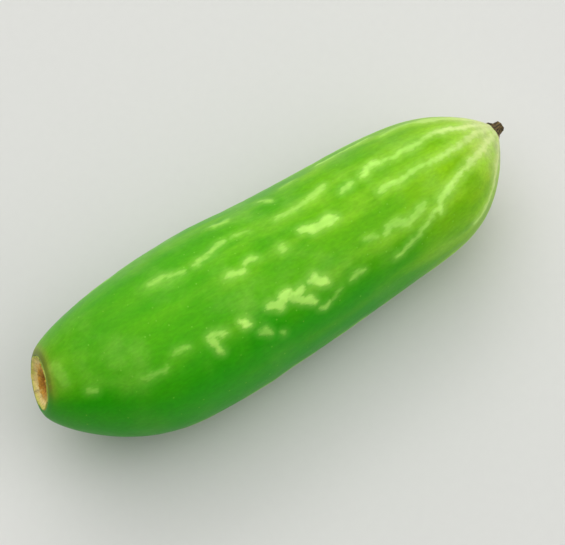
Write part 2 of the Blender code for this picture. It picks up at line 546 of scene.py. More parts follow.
# The photographed side, stripe by stripe from its upper edge to its lower one
SHOWN_FLECKS = (
    Fleck(((24.4, 51), (25.6, 53), (26.6, 53)), 0.75, 0.5),
    Fleck(((30.9, 48), (31.7, 53), (32.1, 57)), 0.7, 0.55),
    Fleck(((34.3, 46), (36.2, 44)), 0.5, 0.4),
    Fleck(((39.7, 39), (42.4, 39), (44.1, 40), (46.8, 38)), 0.55, 0.75),
    Fleck(((47.7, 50), (49.8, 46), (51.4, 46), (53.0, 51)), 0.65, 0.55),
    Fleck(((52.4, 50), (55.2, 53), (57.1, 55), (60.2, 56)), 1.3, 0.6),
    Fleck(((14.2, 72), (15.9, 72), (17.2, 75), (18.3, 77)), 0.55, 0.55),
    Fleck(((19.7, 77), (21.1, 75), (22.0, 74), (23.4, 72), (24.4, 71)), 0.7, 0.65),
    Fleck(((25.1, 71), (26.3, 71), (27.5, 74)), 0.45, 0.4),
    Fleck(((30.7, 74), (32.6, 75), (33.8, 75), (35.3, 74)), 0.55, 0.5),
    Fleck(((35.0, 74), (36.7, 72), (38.1, 69)), 0.65, 0.7),
    Fleck(((39.0, 82), (39.9, 82), (40.8, 80)), 0.65, 0.75),
    Fleck(((41.9, 80), (42.8, 78), (44.1, 75), (44.9, 78)), 0.75, 0.95),
    Fleck(((44.9, 78), (46.2, 80), (48.1, 80), (49.3, 80), (51.0, 78), (52.7, 77)), 0.6, 0.7),
    Fleck(((52.2, 77), (54.0, 78), (55.4, 81), (57.6, 82), (60.2, 81)), 0.65, 0.95),
    Fleck(((22.0, 95), (23.0, 95), (24.2, 97)), 0.75, 0.75),
    Fleck(((24.6, 93), (25.4, 91), (26.3, 93)), 0.75, 0.7),
    Fleck(((29.2, 94), (29.7, 97)), 0.9, 0.55),
    Fleck(((32.4, 91), (33.3, 94), (34.3, 95), (35.7, 95), (36.7, 97)), 1.0, 1.0),
    Fleck(((42.6, 97), (44.3, 97), (45.3, 100), (46.6, 98), (48.5, 98), (50.3, 101)), 0.6, 0.75),
    Fleck(((50.3, 101), (52.2, 101), (54.4, 100), (56.8, 97), (60.2, 97)), 0.6, 0.75),
    Fleck(((0.7, 94), (1.1, 108), (1.4, 122)), 1.2, 0.2),
    Fleck(((3.5, 132), (4.0, 133)), 0.95, 0.4),
    Fleck(((8.8, 132), (10.5, 132), (11.7, 130)), 0.45, 0.35),
    Fleck(((12.7, 124), (13.5, 123), (14.6, 123)), 0.5, 0.4),
    Fleck(((17.0, 124), (17.6, 124), (18.3, 124), (19.0, 126)), 0.9, 0.7),
    Fleck(((17.2, 124), (17.4, 129), (17.6, 134), (17.9, 137)), 0.85, 0.65),
    Fleck(((21.0, 124), (21.5, 126), (21.8, 128)), 1.15, 0.95),
    Fleck(((22.6, 136), (23.2, 138), (23.6, 140)), 1.05, 0.6),
    Fleck(((24.8, 145), (25.1, 147)), 0.9, 0.45),
    Fleck(
        ((24.6, 124), (25.4, 126), (26.1, 127), (26.6, 124), (27.1, 123), (28.3, 127), (29.0, 126)), 1.1, 1.0
    ),
    Fleck(((26.8, 126), (27.8, 129), (28.5, 133), (29.2, 136), (29.7, 140)), 0.85, 0.9),
    Fleck(((30.0, 124), (30.7, 126), (31.4, 129), (31.9, 132)), 0.95, 1.0),
    Fleck(((30.0, 145), (30.7, 147), (31.2, 146)), 0.7, 0.6),
    Fleck(((31.7, 145), (32.4, 142), (33.3, 140)), 0.45, 0.35),
    Fleck(((34.5, 139), (35.5, 139), (36.4, 140)), 0.7, 0.55),
    Fleck(((38.1, 121), (39.5, 124)), 0.55, 0.45),
    Fleck(((40.4, 126), (41.3, 123), (42.1, 123), (43.4, 129), (44.7, 127), (46.2, 124)), 0.8, 0.6),
    Fleck(((40.4, 146), (41.3, 146), (42.1, 143), (43.4, 142), (44.7, 139), (46.6, 134)), 0.6, 0.65),
    Fleck(((46.6, 134), (47.5, 133), (48.1, 129), (48.7, 127), (49.4, 126), (50.5, 124)), 0.7, 0.95),
    Fleck(((50.3, 124), (52.4, 121), (55.1, 120), (57.6, 118), (60.2, 117)), 0.7, 0.8),
    Fleck(((51.0, 171), (52.4, 169), (53.8, 165), (55.2, 160), (56.8, 153), (60.2, 146)), 0.6, 0.85),
)


@dataclass
class FleckPattern:
    """The skin's broken pale stripes: flecks in rows along the fruit, which run together towards the tip.

    Attributes:
        shown: the flecks placed on the photographed side.
        shown_span: the degrees that side covers.
        stripes: the degrees round the fruit of every stripe.
        vein_from: millimetres from the stem scar at which a stripe becomes one line.
        vein_to: where it ends, under the dried style's foot.
        stride: millimetres between a stroke's points.
        wander: millimetres by which those points stray sideways.
        girth: millimetres from the axis to the skin, on average.
        reach: millimetres from a stroke's edge to which distances are measured.
        seed: fixes every random draw.
    """

    shown: tuple[Fleck, ...] = SHOWN_FLECKS
    shown_span: tuple[float, float] = (36.0, 172.0)
    stripes: tuple[float, ...] = (18, 46, 76, 97, 128, 166, 200, 232, 263, 293, 322, 350)
    vein_from: float = 44.0
    vein_to: float = 60.2
    stride: float = 0.4
    wander: float = 0.07
    girth: float = 9.0
    reach: float = 3.0
    seed: int = 11

    # What the hidden flecks are drawn from, in mm and shares, with strays in degrees round the fruit
    first: Range = (8.0, 15.0)
    length: Range = (1.2, 4.4)
    width: Range = (0.5, 0.9)
    paleness: Range = (0.5, 1.0)
    end_stray: float = 2.2
    middle_stray: float = 1.4
    least_gap: float = -0.4
    most_gap: float = 6.0  # by the stem
    gap_loss: float = 4.5  # of it, where the veins begin
    branch_odds: float = 0.2
    branch_step: tuple[float, float] = (1.3, 7.0)  # along and round
    branch_width: Range = (0.5, 0.8)
    branch_paleness: Range = (0.5, 0.9)
    vein_start: Range = (-2.0, 3.0)  # from vein_from
    vein_points: int = 6
    vein_stray: tuple[float, float] = (2.0, 0.6)  # where a vein starts and at the tip
    vein_width: Range = (0.5, 0.7)
    vein_paleness: Range = (0.7, 0.95)

    # How each stroke is drawn: its fewest points, and shares of its width and paleness
    least_points: int = 3
    width_swing: Range = (0.65, 1.2)
    end_width: float = 0.6
    paleness_swing: Range = (0.8, 1.0)

    def strokes(self) -> list[np.ndarray]:
        """Every fleck and vein, as a chain of points with a ragged width."""
        rng = np.random.default_rng(self.seed)
        return [self.stroke(fleck, rng) for fleck in (*self.shown, *self.hidden_side(rng))]

    def hidden_side(self, rng: np.random.Generator) -> list[Fleck]:
        """Flecks for the stripes that the photograph hides, closer together towards the blossom end.

        Args:
            rng: the pattern's random draws.

        Returns:
            The flecks.
        """
        flecks = []
        low, high = self.shown_span
        for stripe in self.stripes:
            if low < stripe < high:
                continue
            station = rng.uniform(*self.first)
            while station < self.vein_from:
                length = rng.uniform(*self.length)
                half_way = station + length / 2
                start, end = stripe + rng.normal(0.0, self.end_stray, 2)
                middle = (start + end) / 2 + rng.normal(0.0, self.middle_stray)
                path = ((station, start), (half_way, middle), (station + length, end))
                flecks.append(Fleck(path, rng.uniform(*self.width), rng.uniform(*self.paleness)))
                if rng.random() < self.branch_odds:
                    along, round_by = self.branch_step
                    branch = ((half_way, middle), (half_way + along, middle + round_by))
                    width, paleness = rng.uniform(*self.branch_width), rng.uniform(*self.branch_paleness)
                    flecks.append(Fleck(branch, width, paleness))
                most_gap = self.most_gap - self.gap_loss * station / self.vein_from
                station += length + rng.uniform(self.least_gap, most_gap)
            start = self.vein_from + rng.uniform(*self.vein_start)
            stations = np.linspace(start, self.vein_to, self.vein_points)
            sway = np.linspace(*self.vein_stray, self.vein_points)
            strays = rng.normal(0.0, 1.0, self.vein_points) * sway
            vein = tuple((s, stripe + stray) for s, stray in zip(stations, strays))
            flecks.append(Fleck(vein, rng.uniform(*self.vein_width), rng.uniform(*self.vein_paleness)))
        return flecks

    def stroke(self, fleck: Fleck, rng: np.random.Generator) -> np.ndarray:
        """Points along one fleck: station in mm, angle in radians, half width in mm, paleness.

        Args:
            fleck: the fleck to draw.
            rng: the pattern's random draws.

        Returns:
            One row of four numbers for each point.
        """
        path = np.array(fleck.path) * (1.0, math.radians(1.0))
        steps = np.hypot(np.diff(path[:, 0]), np.diff(path[:, 1]) * self.girth)
        run = np.concatenate([[0.0], np.cumsum(steps)])
        count = max(self.least_points, round(run[-1] / self.stride))
        at = np.linspace(0.0, run[-1], count)
        station = np.interp(at, run, path[:, 0])
        around = np.interp(at, run, path[:, 1]) + rng.normal(0.0, self.wander / self.girth, count)
        to_end = np.minimum(at, run[-1] - at) / fleck.width
        tapered = fleck.width / 2 * np.minimum(1.0, self.end_width + to_end)
        half_width = tapered * rng.uniform(*self.width_swing, count)
        paleness = fleck.paleness * rng.uniform(*self.paleness_swing, count)
        return np.stack([station, around, half_width, paleness], axis=1)

    def measure(
        self, station: np.ndarray, around: np.ndarray, radius: np.ndarray
    ) -> tuple[np.ndarray, np.ndarray, np.ndarray]:
        """How far each point of the skin is from the strokes and from the stripes.

        Args:
            station: each point's millimetres along the fruit.
            around: each point's angle, in radians.
            radius: each point's millimetres from the axis.

        Returns:
            Millimetres to the nearest stroke's edge, negative inside it, that stroke's paleness there, and
            millimetres to the middle of the nearest stripe.
        """
        edge = np.full(len(station), self.reach)
        paleness = np.zeros(len(station))
        for stroke in self.strokes():
            span = stroke[:, 0].min() - self.reach, stroke[:, 0].max() + self.reach
            near = np.flatnonzero((station > span[0]) & (station < span[1]))
            for first, last in zip(stroke, stroke[1:]):
                along = station[near] - first[0]
                across = turn_between(around[near], first[1]) * radius[near]
                step_along, step_across = last[0] - first[0], (last[1] - first[1]) * radius[near]
                squared = step_along**2 + step_across**2 + TINY
                share = np.clip((along * step_along + across * step_across) / squared, 0.0, 1.0)
                gap = np.hypot(along - share * step_along, across - share * step_across)
                gap -= first[2] + share * (last[2] - first[2])
                closer = gap < edge[near]
                where = near[closer]
                edge[where] = gap[closer]
                paleness[where] = (first[3] + share * (last[3] - first[3]))[closer]
        turns = [np.abs(turn_between(around, math.radians(stripe))) for stripe in self.stripes]
        return edge, paleness, np.min(turns, axis=0) * radius


def turn_between(around: np.ndarray, angle: float) -> np.ndarray:
    """The way from one angle to each of the others, in radians between minus and plus half a turn."""
    return (around - angle + math.pi) % math.tau - math.pi


def read(items: bpy.types.bpy_prop_collection, name: str, width: int = 1) -> np.ndarray:
    """Reads one number or vector from each item of a mesh's collection.

    Args:
        items: the collection, such as the mesh's vertices.
        name: what is read from an item.
        width: how many numbers that is.

    Returns:
        One number for each item, or one row where it has several.
    """
    values = np.empty(len(items) * width, dtype=np.float32)
    items.foreach_get(name, values)
    return values.astype(float).reshape((-1, width) if width > 1 else -1)


def keep_attribute(mesh: bpy.types.Mesh, name: str, values: np.ndarray) -> None:
    """Writes a named number on each of a mesh's points."""
    mesh.attributes.new(name, "FLOAT", "POINT").data.foreach_set("value", values.astype(np.float32))


def move_points(mesh: bpy.types.Mesh, places: np.ndarray) -> None:
    """Writes the places of a mesh's points, in metres."""
    mesh.vertices.foreach_set("co", places.astype(np.float32).ravel())
    mesh.update()


def new_material(name: str) -> tuple[bpy.types.Material, Tree, bpy.types.Node, bpy.types.Node]:
    """Starts a material with one Principled shader.

    Args:
        name: the material's name.

    Returns:
        The material, its tree, its shader and a node that gives the place on the object in mm.
    """
    material = bpy.data.materials.new(name)
    material.use_nodes = True
    tree = material.node_tree
    place = add_node(tree, "ShaderNodeTexCoord").outputs["Object"]
    mm = add_node(tree, VECTOR, (place, (1 / MM,) * 3), operation="MULTIPLY")
    return material, tree, tree.nodes["Principled BSDF"], mm


def set_stops(ramp: bpy.types.Node, stops: Stops) -> None:
    """Gives a colour ramp its stops.

    Args:
        ramp: the ramp's node.
        stops: the place of each stop from 0 to 1, and its sRGB colour.
    """
    elements = ramp.color_ramp.elements
    elements.remove(elements[-1])
    elements[0].position, elements[0].color = stops[0][0], linear(stops[0][1])
    for place, code in stops[1:]:
        elements.new(place).color = linear(code)


@dataclass(frozen=True)
class WaxySkin:
    """Green cucurbit rind under a thin cuticle wax, grown smooth and never polished.

    The eye gets a soft, broad sheen from the wax, a glow from light that scatters in the wet flesh
    below, greens that pale from the stem to the blossom end, and ragged pale flecks.
    """

    greens: Stops = (
        (0.000, "#86762A"),
        (0.004, "#98A838"),
        (0.011, "#76B224"),
        (0.030, "#60B012"),
        (0.070, "#52AC06"),
        (0.250, "#4FAE00"),
        (0.500, "#5EB300"),
        (0.700, "#72BA00"),
        (0.840, "#8AC20C"),
        (0.890, "#A6CD30"),
        (0.920, "#BAD45C"),
        (0.950, "#CFD888"),
        (1.000, "#E0D4A0"),
    )
    deep_green: str = "#2C9600"
    # painted shade: the deeper green that the convex side is painted with in place of shade
    painted_shade_green: str = "#229A00"
    stripe_pale: str = "#9BD433"
    # a whitish wax bloom, partly a painted sheen
    bloom_and_sheen_pale: str = "#8FC84C"
    fleck_pale: str = "#C2F772"
    vein_pale: str = "#DFEC9E"
    dot_pale: str = "#94D24A"
    wax_tint: str = "#D8FFB0"  # the thin wax lets the green below tinge what it reflects

    # Sizes in mm
    length: float = 61.0  # of skin that the greens are spread over
    waver: float = 10.0  # by which clouds shift the greens along the fruit, from end to end
    cloud: float = 9.0  # across a cloud of deeper green
    bloom_and_sheen: float = 5.0  # across a patch of wax bloom and painted sheen
    mottle: float = 1.6  # across the fine mottling
    ragged: float = 0.45  # across the teeth on a fleck's edge
    teeth: tuple[float, float] = (0.9, -0.48)  # by which they move it, and to which side on the whole
    dot_gap: float = 1.1  # between the pale dots
    peel: float = 0.5  # across the dimples of the skin
    grain: float = 0.28  # across the skin's grain, coarser than its cells so that it shows
    relief: float = 0.03  # from the floor of a dimple to the top of a fleck

    # What the dimples, the grain and the flecks add to the relief, beside the mottle's 1
    peel_share: float = 0.5
    grain_share: float = 0.35
    fleck_share: float = 0.5

    # How much the clouds sway the edge of the painted shade on the convex side, and how the mottle and grain
    # are drawn out
    sway: float = 0.5
    mottle_draw: tuple[float, float, float] = (0.3, 1.0, 1.0)
    grain_draw: tuple[float, float, float] = (0.4, 1.0, 1.0)

    # From mm along the fruit
    unwavered: Range = (2.0, 9.0)  # the greens by the stem hardly waver
    painted_shade_end: Range = (52.0, 36.0)  # the painted shade on the convex side ends before the tip
    band_growth: Range = (12.0, 56.0, 0.08, 0.75)
    towards_tip: Range = (47.0, 59.0)  # flecks turn to veins

    # From mm off the middle of a stripe or the edge of a fleck
    band: Range = (2.0, 0.2)
    core: Range = (0.32, -0.32)
    halo: Range = (0.9, -0.1, 0.0, 0.24)

    # From a share of noise, of turn or of painted shade
    clouded: Range = (0.34, 0.16, 0.0, 0.35)
    # where the painted shade on the convex side sets in, and how strong it is
    convex: Range = (0.9, 1.18, 0.0, 0.95)
    gaps: Range = (0.3, 0.65)  # where a band is broken
    lit: Range = (0.0, 1.0, 1.0, 0.25)  # what still shows in the painted shade
    # how much wax bloom and painted sheen a patch gets
    bloom_and_sheen_amount: Range = (0.46, 0.8, 0.0, 0.4)
    dots: Range = (0.12, 0.05, 0.0, 0.35)
    toned: Range = (0.3, 0.7, 0.9, 1.1)
    thickness: Range = (0.25, 0.6, 0.75, 1.0)  # uneven middles of the flecks
    roughness: Range = (0.3, 0.7, 0.36, 0.48)

    def build(self) -> bpy.types.Material:
        """Makes the material.

        Returns:
            The material.
        """
        material, tree, shader, mm = new_material("cucurbit_rind_grown_waxy")
        add = partial(add_node, tree)
        station, edge, stripe, paleness, side = (
            add("ShaderNodeAttribute", attribute_name=name).outputs["Fac"]
            for name in ("station_mm", "fleck_edge", "stripe_mm", "fleck_paleness", "convex_share")
        )
        drawn_out = add(VECTOR, (mm, self.mottle_draw), operation="MULTIPLY")
        fibred = add(VECTOR, (mm, self.grain_draw), operation="MULTIPLY")
        clouds, patches, mottle, teeth, grain, peel = (
            add(NOISE, {"Vector": space, "Scale": 1 / size, "Detail": detail, "Roughness": roughness})
            for space, size, detail, roughness in (
                (mm, self.cloud, 2.0, 0.5),
                (mm, self.bloom_and_sheen, 3.0, 0.5),
                (drawn_out, self.mottle, 3.0, 0.5),
                (drawn_out, self.ragged, 4.0, 0.6),
                (fibred, self.grain, 3.0, 0.6),
                (mm, self.peel, 2.0, 0.5),
            )
        )

        # Greens from the stem to the blossom end, on a wavering line
        waver = add(MATH, (clouds, self.waver, -self.waver / 2), operation="MULTIPLY_ADD")
        unwavered = add(SPAN, (station, *self.unwavered), **SOFT)
        wavered = add(MATH, (waver, unwavered, station), operation="MULTIPLY_ADD")
        share = add(MATH, (wavered, self.length), operation="DIVIDE")
        colour = add(RAMP, {"Fac": share})
        set_stops(colour, self.greens)

        # Deeper green clouds, and painted shade: a deeper green on the convex side, all but its tip, that
        # stands in for shade
        both = add(MATH, (clouds, mottle), operation="MULTIPLY")
        clouded = add(SPAN, (both, *self.clouded))
        swayed = add(MATH, (clouds, self.sway, side), operation="MULTIPLY_ADD")
        convex = add(SPAN, (swayed, *self.convex), **SOFT)
        painted_shade_end = add(SPAN, (station, *self.painted_shade_end), **SOFT)
        painted_shade_mask = add(MATH, (convex, painted_shade_end), operation="MULTIPLY")
        lit = add(SPAN, (painted_shade_mask, *self.lit))

        # Broken paler bands along the stripes, which grow towards the blossom end
        band = add(SPAN, (stripe, *self.band), **SOFT)
        growth = add(SPAN, (station, *self.band_growth))
        grown_band = add(MATH, (band, growth), operation="MULTIPLY")
        gaps = add(SPAN, (mottle, *self.gaps))
        broken = add(MATH, (grown_band, gaps), operation="MULTIPLY")
        lit_band = add(MATH, (broken, lit), operation="MULTIPLY")

        # Patches of whitish wax bloom, partly a painted sheen, kept out of the painted shade, and pale dots,
        # scattered thinly
        bloom_and_sheen = add(SPAN, (patches, *self.bloom_and_sheen_amount), **SOFT)
        lit_bloom_and_sheen = add(MATH, (bloom_and_sheen, lit), operation="MULTIPLY")
        cells = add("ShaderNodeTexVoronoi", {"Vector": mm, "Scale": 1 / self.dot_gap})
        dots = add(SPAN, (cells, *self.dots))
        for amount, tint in (
            (clouded, self.deep_green),
            # painted shade on the convex side
            (painted_shade_mask, self.painted_shade_green),
            (lit_band, self.stripe_pale),
            # wax bloom, partly a painted sheen
            (lit_bloom_and_sheen, self.bloom_and_sheen_pale),
            (dots, self.dot_pale),
        ):
            colour = add(MIX, {0: amount, 6: colour, 7: linear(tint)}, **RGBA)

        # The grain of the skin's cells
        tone = add(SPAN, (grain, *self.toned))
        colour = add(VECTOR, {0: colour, "Scale": tone}, operation="SCALE")

        # Flecks, with teeth along their edges, uneven middles and a faint halo
        bite = add(MATH, (teeth, *self.teeth), operation="MULTIPLY_ADD")
        bitten = add(MATH, (edge, bite), operation="ADD")
        core = add(SPAN, (bitten, *self.core), **SOFT)
        thickness = add(SPAN, (mottle, *self.thickness))
        uneven = add(MATH, (core, thickness), operation="MULTIPLY")
        halo = add(SPAN, (edge, *self.halo), **SOFT)
        shown = add(MATH, (uneven, halo), operation="MAXIMUM")
        pale = add(MATH, (shown, paleness), operation="MULTIPLY")
        towards_tip = add(SPAN, (station, *self.towards_tip), **SOFT)
        tones = {0: towards_tip, 6: linear(self.fleck_pale), 7: linear(self.vein_pale)}
        fleck = add(MIX, tones, **RGBA)

        # Relief: shallow dimples, drawn-out fibres and flecks that stand a little proud
        dimpled = add(MATH, (peel, self.peel_share, mottle), operation="MULTIPLY_ADD")
        grained = add(MATH, (grain, self.grain_share, dimpled), operation="MULTIPLY_ADD")
        raised = add(MATH, (core, self.fleck_share, grained), operation="MULTIPLY_ADD")
        relief = {"Height": raised, "Strength": 0.5, "Distance": self.relief * MM}
        finish = {
            "Base Color": add(MIX, {0: pale, 6: colour, 7: fleck}, **RGBA),
            "Roughness": add(SPAN, (mottle, *self.roughness)),
            "Normal": add("ShaderNodeBump", relief),
            "IOR": 1.42,
            "Specular IOR Level": 0.18,
            "Specular Tint": linear(self.wax_tint),
            "Subsurface Weight": 0.2,
            "Subsurface Radius": (0.6, 1.0, 0.15),
            "Subsurface Scale": 1.4 * MM,
            "Coat Weight": 0.06,
            "Coat Roughness": 0.3,
            "Coat IOR": 1.45,
        }
        connect(tree, shader, finish)
        return material


@dataclass(frozen=True)
class ScarCork:
    """Corky abscission tissue, dried in the air where the stalk came away.

    The eye gets a rough, dry patch: a pale torn lip, a tan dish and a dark split middle.
    """

    rings: Stops = (
        (0.00, "#3C1E05"),
        (0.16, "#6E4608"),
        (0.32, "#B0781C"),
        (0.50, "#D8A038"),
        (0.68, "#EAC668"),
        (0.82, "#F1DC92"),
        (0.92, "#DBD46A"),
        (1.00, "#A6BC3E"),
    )
    crack_brown: str = "#5A3009"

    # Sizes in mm
    rim: float = 3.0  # from the middle to the lip
    grain: float = 0.3  # across a grain of cork
    stain: float = 1.1  # across the stains that make the rings waver
    stain_shift: float = 1.2  # by which they shift them, from end to end
    relief: float = 0.1  # from the floor of a crack to the top of a grain

    fibre: float = 0.12  # radians across a fibre that runs from the middle to the lip
    fibre_drift: float = 0.05  # by which the fibres change with each mm on the way
    cracked: Range = (0.45, 0.3, 0.0, 0.6)
    toned: Range = (0.3, 0.7, 0.85, 1.2)
    roughness: Range = (0.0, 1.0, 0.6, 0.9)

    def build(self) -> bpy.types.Material:
        """Makes the material.

        Returns:
            The material.
        """
        material, tree, shader, mm = new_material("cork_dried_abscission")
        add = partial(add_node, tree)
        radius, cosine, sine = (
            add("ShaderNodeAttribute", attribute_name=name).outputs["Fac"]
            for name in ("radius_mm", "turn_cosine", "turn_sine")
        )

        # Rings of colour from the split middle to the torn lip, with stains across them
        stains = add(NOISE, {"Vector": mm, "Scale": 1 / self.stain})
        shift = add(MATH, (stains, self.stain_shift, -self.stain_shift / 2), operation="MULTIPLY_ADD")
        wavered = add(MATH, (radius, shift), operation="ADD")
        share = add(MATH, (wavered, self.rim), operation="DIVIDE")
        rings = add(RAMP, {"Fac": share})
        set_stops(rings, self.rings)

        # Dry fibres that part into dark cracks
        drift = add(MATH, (radius, self.fibre_drift), operation="MULTIPLY")
        polar = add("ShaderNodeCombineXYZ", (cosine, sine, drift))
        rays = {"Vector": polar, "Scale": 1 / self.fibre, "Detail": 3.0, "Roughness": 0.6}
        fibres = add(NOISE, rays)
        crack = add(SPAN, (fibres, *self.cracked))
        colour = add(MIX, {0: crack, 6: rings, 7: linear(self.crack_brown)}, **RGBA)

        # The grain of the cork
        grain = add(NOISE, {"Vector": mm, "Scale": 1 / self.grain, "Detail": 4.0})
        tone = add(SPAN, (grain, *self.toned))
        height = add(MATH, (grain, fibres), operation="ADD")
        relief = {"Height": height, "Strength": 0.7, "Distance": self.relief * MM}
        finish = {
            "Base Color": add(VECTOR, {0: colour, "Scale": tone}, operation="SCALE"),
            "Roughness": add(SPAN, (grain, *self.roughness)),
            "Normal": add("ShaderNodeBump", relief),
            "IOR": 1.45,
            "Subsurface Weight": 0.06,
            "Subsurface Scale": 0.4 * MM,
        }
        connect(tree, shader, finish)
        return material


@dataclass(frozen=True)
class DriedStyle:
    """Style tissue shrivelled hard and brown after flowering.

    The eye gets a small dark, matt peg with lighter olive-brown fibres along it.
    """

    dark: str = "#2A2009"
    fibre: str = "#80693A"
    fibre_width: float = 0.22  # mm across a fibre
    fibre_draw: tuple[float, float, float] = (0.25, 1.0, 1.0)  # a fibre runs along the peg
    relief: float = 0.08  # mm
    parted: Range = (0.4, 0.7)
    roughness: Range = (0.0, 1.0, 0.7, 0.95)

    def build(self) -> bpy.types.Material:
        """Makes the material.

        Returns:
            The material.
        """
        material, tree, shader, mm = new_material("style_tissue_dried")
        add = partial(add_node, tree)
        drawn_out = add(VECTOR, (mm, self.fibre_draw), operation="MULTIPLY")
        fibres = add(NOISE, {"Vector": drawn_out, "Scale": 1 / self.fibre_width, "Detail": 3.0})
        share = add(SPAN, (fibres, *self.parted))
        tissue = {0: share, 6: linear(self.dark), 7: linear(self.fibre)}
        relief = {"Height": fibres, "Strength": 0.9, "Distance": self.relief * MM}
        finish = {
            "Base Color": add(MIX, tissue, **RGBA),
            "Roughness": add(SPAN, (fibres, *self.roughness)),
            "Normal": add("ShaderNodeBump", relief),
            "IOR": 1.5,
        }
        connect(tree, shader, finish)
        return material


@dataclass
class Lathe:
    """Turns profiles round the fruit's bent axis, and sets what it turned down inside the solid's box."""

    shape: FruitShape
    tree: Tree
    box: tuple[Vector, Vector]
    lump_size: float = 8 * MM
    offset: Vector = field(default_factory=Vector)

    def turn(
        self, name: str, profile: Profile, finish: bpy.types.Material, sizes: dict[str, object]
    ) -> bpy.types.Object:
        """Grows one turned piece on the fruit's axis.

        Args:
            name: the piece's name.
            profile: the profile's points.
            finish: the piece's material.
            sizes: the tree's inputs that are the piece's own.

        Returns:
            The piece, before it is moved to its place on the table.
        """
        curve = profile_curve(f"{name}_profile", profile)
        inputs = {
            "Profile": curve,
            "End Crowding": 0.0,
            "Full Radius": self.shape.body_radius,
            "Lobes": float(self.shape.lobes),
            "Lobe Depth": 0.0,
            "Lobe Depth at Blossom": 0.0,
            "Lobe Phase": self.shape.lobe_phase,
            "Lump Height": 0.0,
            "Lump Size": self.lump_size,
            "Lump Detail": 1.0,
            "Material": finish,
            **self.shape.axis(),
            **sizes,
        }
        piece = grown(name, self.tree, inputs)
        bpy.data.objects.remove(curve, do_unlink=True)
        return piece

    def set_down(self, bare: bpy.types.Object) -> None:
        """Works out where the table is from the fruit's bare skin, which it then removes.

        Args:
            bare: the turned skin without its lumps.
        """
        places = read(bare.data.vertices, "co", 3)
        bpy.data.objects.remove(bare, do_unlink=True)
        low, high = places.min(axis=0), places.max(axis=0)
        middle = (self.box[0].y + self.box[1].y - low[1] - high[1]) / 2
        self.offset = Vector((self.box[0].x - low[0], middle, -low[2] - self.shape.flat_depth))

    def settle(self, piece: bpy.types.Object) -> None:
        """Moves a grown piece to its place on the table and keeps it inside the solid's box."""
        places = read(piece.data.vertices, "co", 3) + np.array(self.offset)
        move_points(piece.data, np.clip(places, np.array(self.box[0]), np.array(self.box[1])))


@dataclass(frozen=True)
class SkinCoat:
    """The whole skin, from under the scar to under the dried style, with its flecks and low ridges."""

    pattern: FleckPattern
    rings: int = 380
    steps: int = 250
    end_crowding: float = 0.3
    body_points: int = 160
    lip_bulge: float = 0.06 * MM
    lip_steps: int = 8
    crest_share: float = 0.6  # of the collar's height, which leaves room for the cork's lip
    under_scar: Profile = ((2.8 * MM, 0.0, 0.1 * MM), (2.4 * MM, 0.0, 0.9 * MM), (0.0, 0.0, 1.7 * MM))
    lump_height: float = 0.09 * MM
    fleck_height: float = 0.03 * MM
    fleck_slope: float = 0.3  # mm over which a fleck rises
    ridge_height: float = 0.07 * MM
    ridge_width: float = 0.9  # mm
    ridge_span: tuple[float, float] = (30.0, 55.0)  # mm from the stem scar, from no ridge to a full one
    shade_turn: float = math.radians(8)  # from the concave side to what is furthest from the painted shade

    def profile(self, shape: FruitShape) -> Profile:
        """The skin's profile, from under the style to under the scar, as the solid has it.

        Args:
            shape: the fruit's form.

        Returns:
            The profile's points.
        """
        foot = shape.foot_share()
        points = [(0.0, 0.0, foot * shape.length)]
        for k in range(self.body_points + 1):
            share = foot * (1 + math.cos(math.pi * k / self.body_points)) / 2
            points.append((shape.radius(share), shape.fullness(share), share * shape.length))
        crest = (shape.crest_radius, -self.crest_share * shape.collar_height)
        lip = arc((shape.collar_radius, 0.0), crest, self.lip_bulge, self.lip_steps)
        points += [(radius, shape.fullness(0.0), station) for radius, station in [*lip, crest]]
        return (*points, *self.under_scar)

    def build(self, lathe: Lathe, finish: bpy.types.Material) -> bpy.types.Object:
        """Grows the skin and sets it down on its belly.

        Args:
            lathe: what turns it.
            finish: the skin's material.

        Returns:
            The piece.
        """
        shape = lathe.shape
        sizes = {
            "Rings": self.rings,
            "Steps Around": self.steps,
            "End Crowding": self.end_crowding,
            "Lobe Depth": shape.lobe_depth,
            "Lobe Depth at Blossom": shape.lobe_depth_at_blossom,
        }
        profile = self.profile(shape)
        lathe.set_down(lathe.turn("bare_skin", profile, finish, sizes))
        skin = lathe.turn("skin", profile, finish, {**sizes, "Lump Height": self.lump_height})
        self.dress(skin.data)
        lathe.settle(skin)
        return skin

    def dress(self, mesh: bpy.types.Mesh) -> None:
        """Marks the flecks and stripes for the material to read, and raises them a little.

        Args:
            mesh: the skin's mesh.
        """
        names = ("station", "radius", "turn_cosine", "turn_sine")
        station, radius, cosine, sine = (read(mesh.attributes[name].data, "value") for name in names)
        station, radius, around = station / MM, radius / MM, np.arctan2(sine, cosine)
        edge, paleness, stripe = self.pattern.measure(station, around, radius)
        for name, values in (
            ("station_mm", station),
            ("fleck_edge", edge),
            ("fleck_paleness", paleness),
            ("stripe_mm", stripe),
            # the share of turn towards the convex side, where the skin's material paints shade
            ("convex_share", (1 - np.cos(around - self.shade_turn)) / 2),
        ):
            keep_attribute(mesh, name, values)
        proud = np.clip(0.5 - edge / self.fleck_slope, 0.0, 1.0) * self.fleck_height
        start, end = self.ridge_span
        growth = np.clip((station - start) / (end - start), 0.0, 1.0)
        ridge = np.exp(-((stripe / self.ridge_width) ** 2)) * growth * self.ridge_height
        places, ways = read(mesh.vertices, "co", 3), read(mesh.vertex_normals, "vector", 3)
        move_points(mesh, places + ways * (proud + ridge)[:, None])


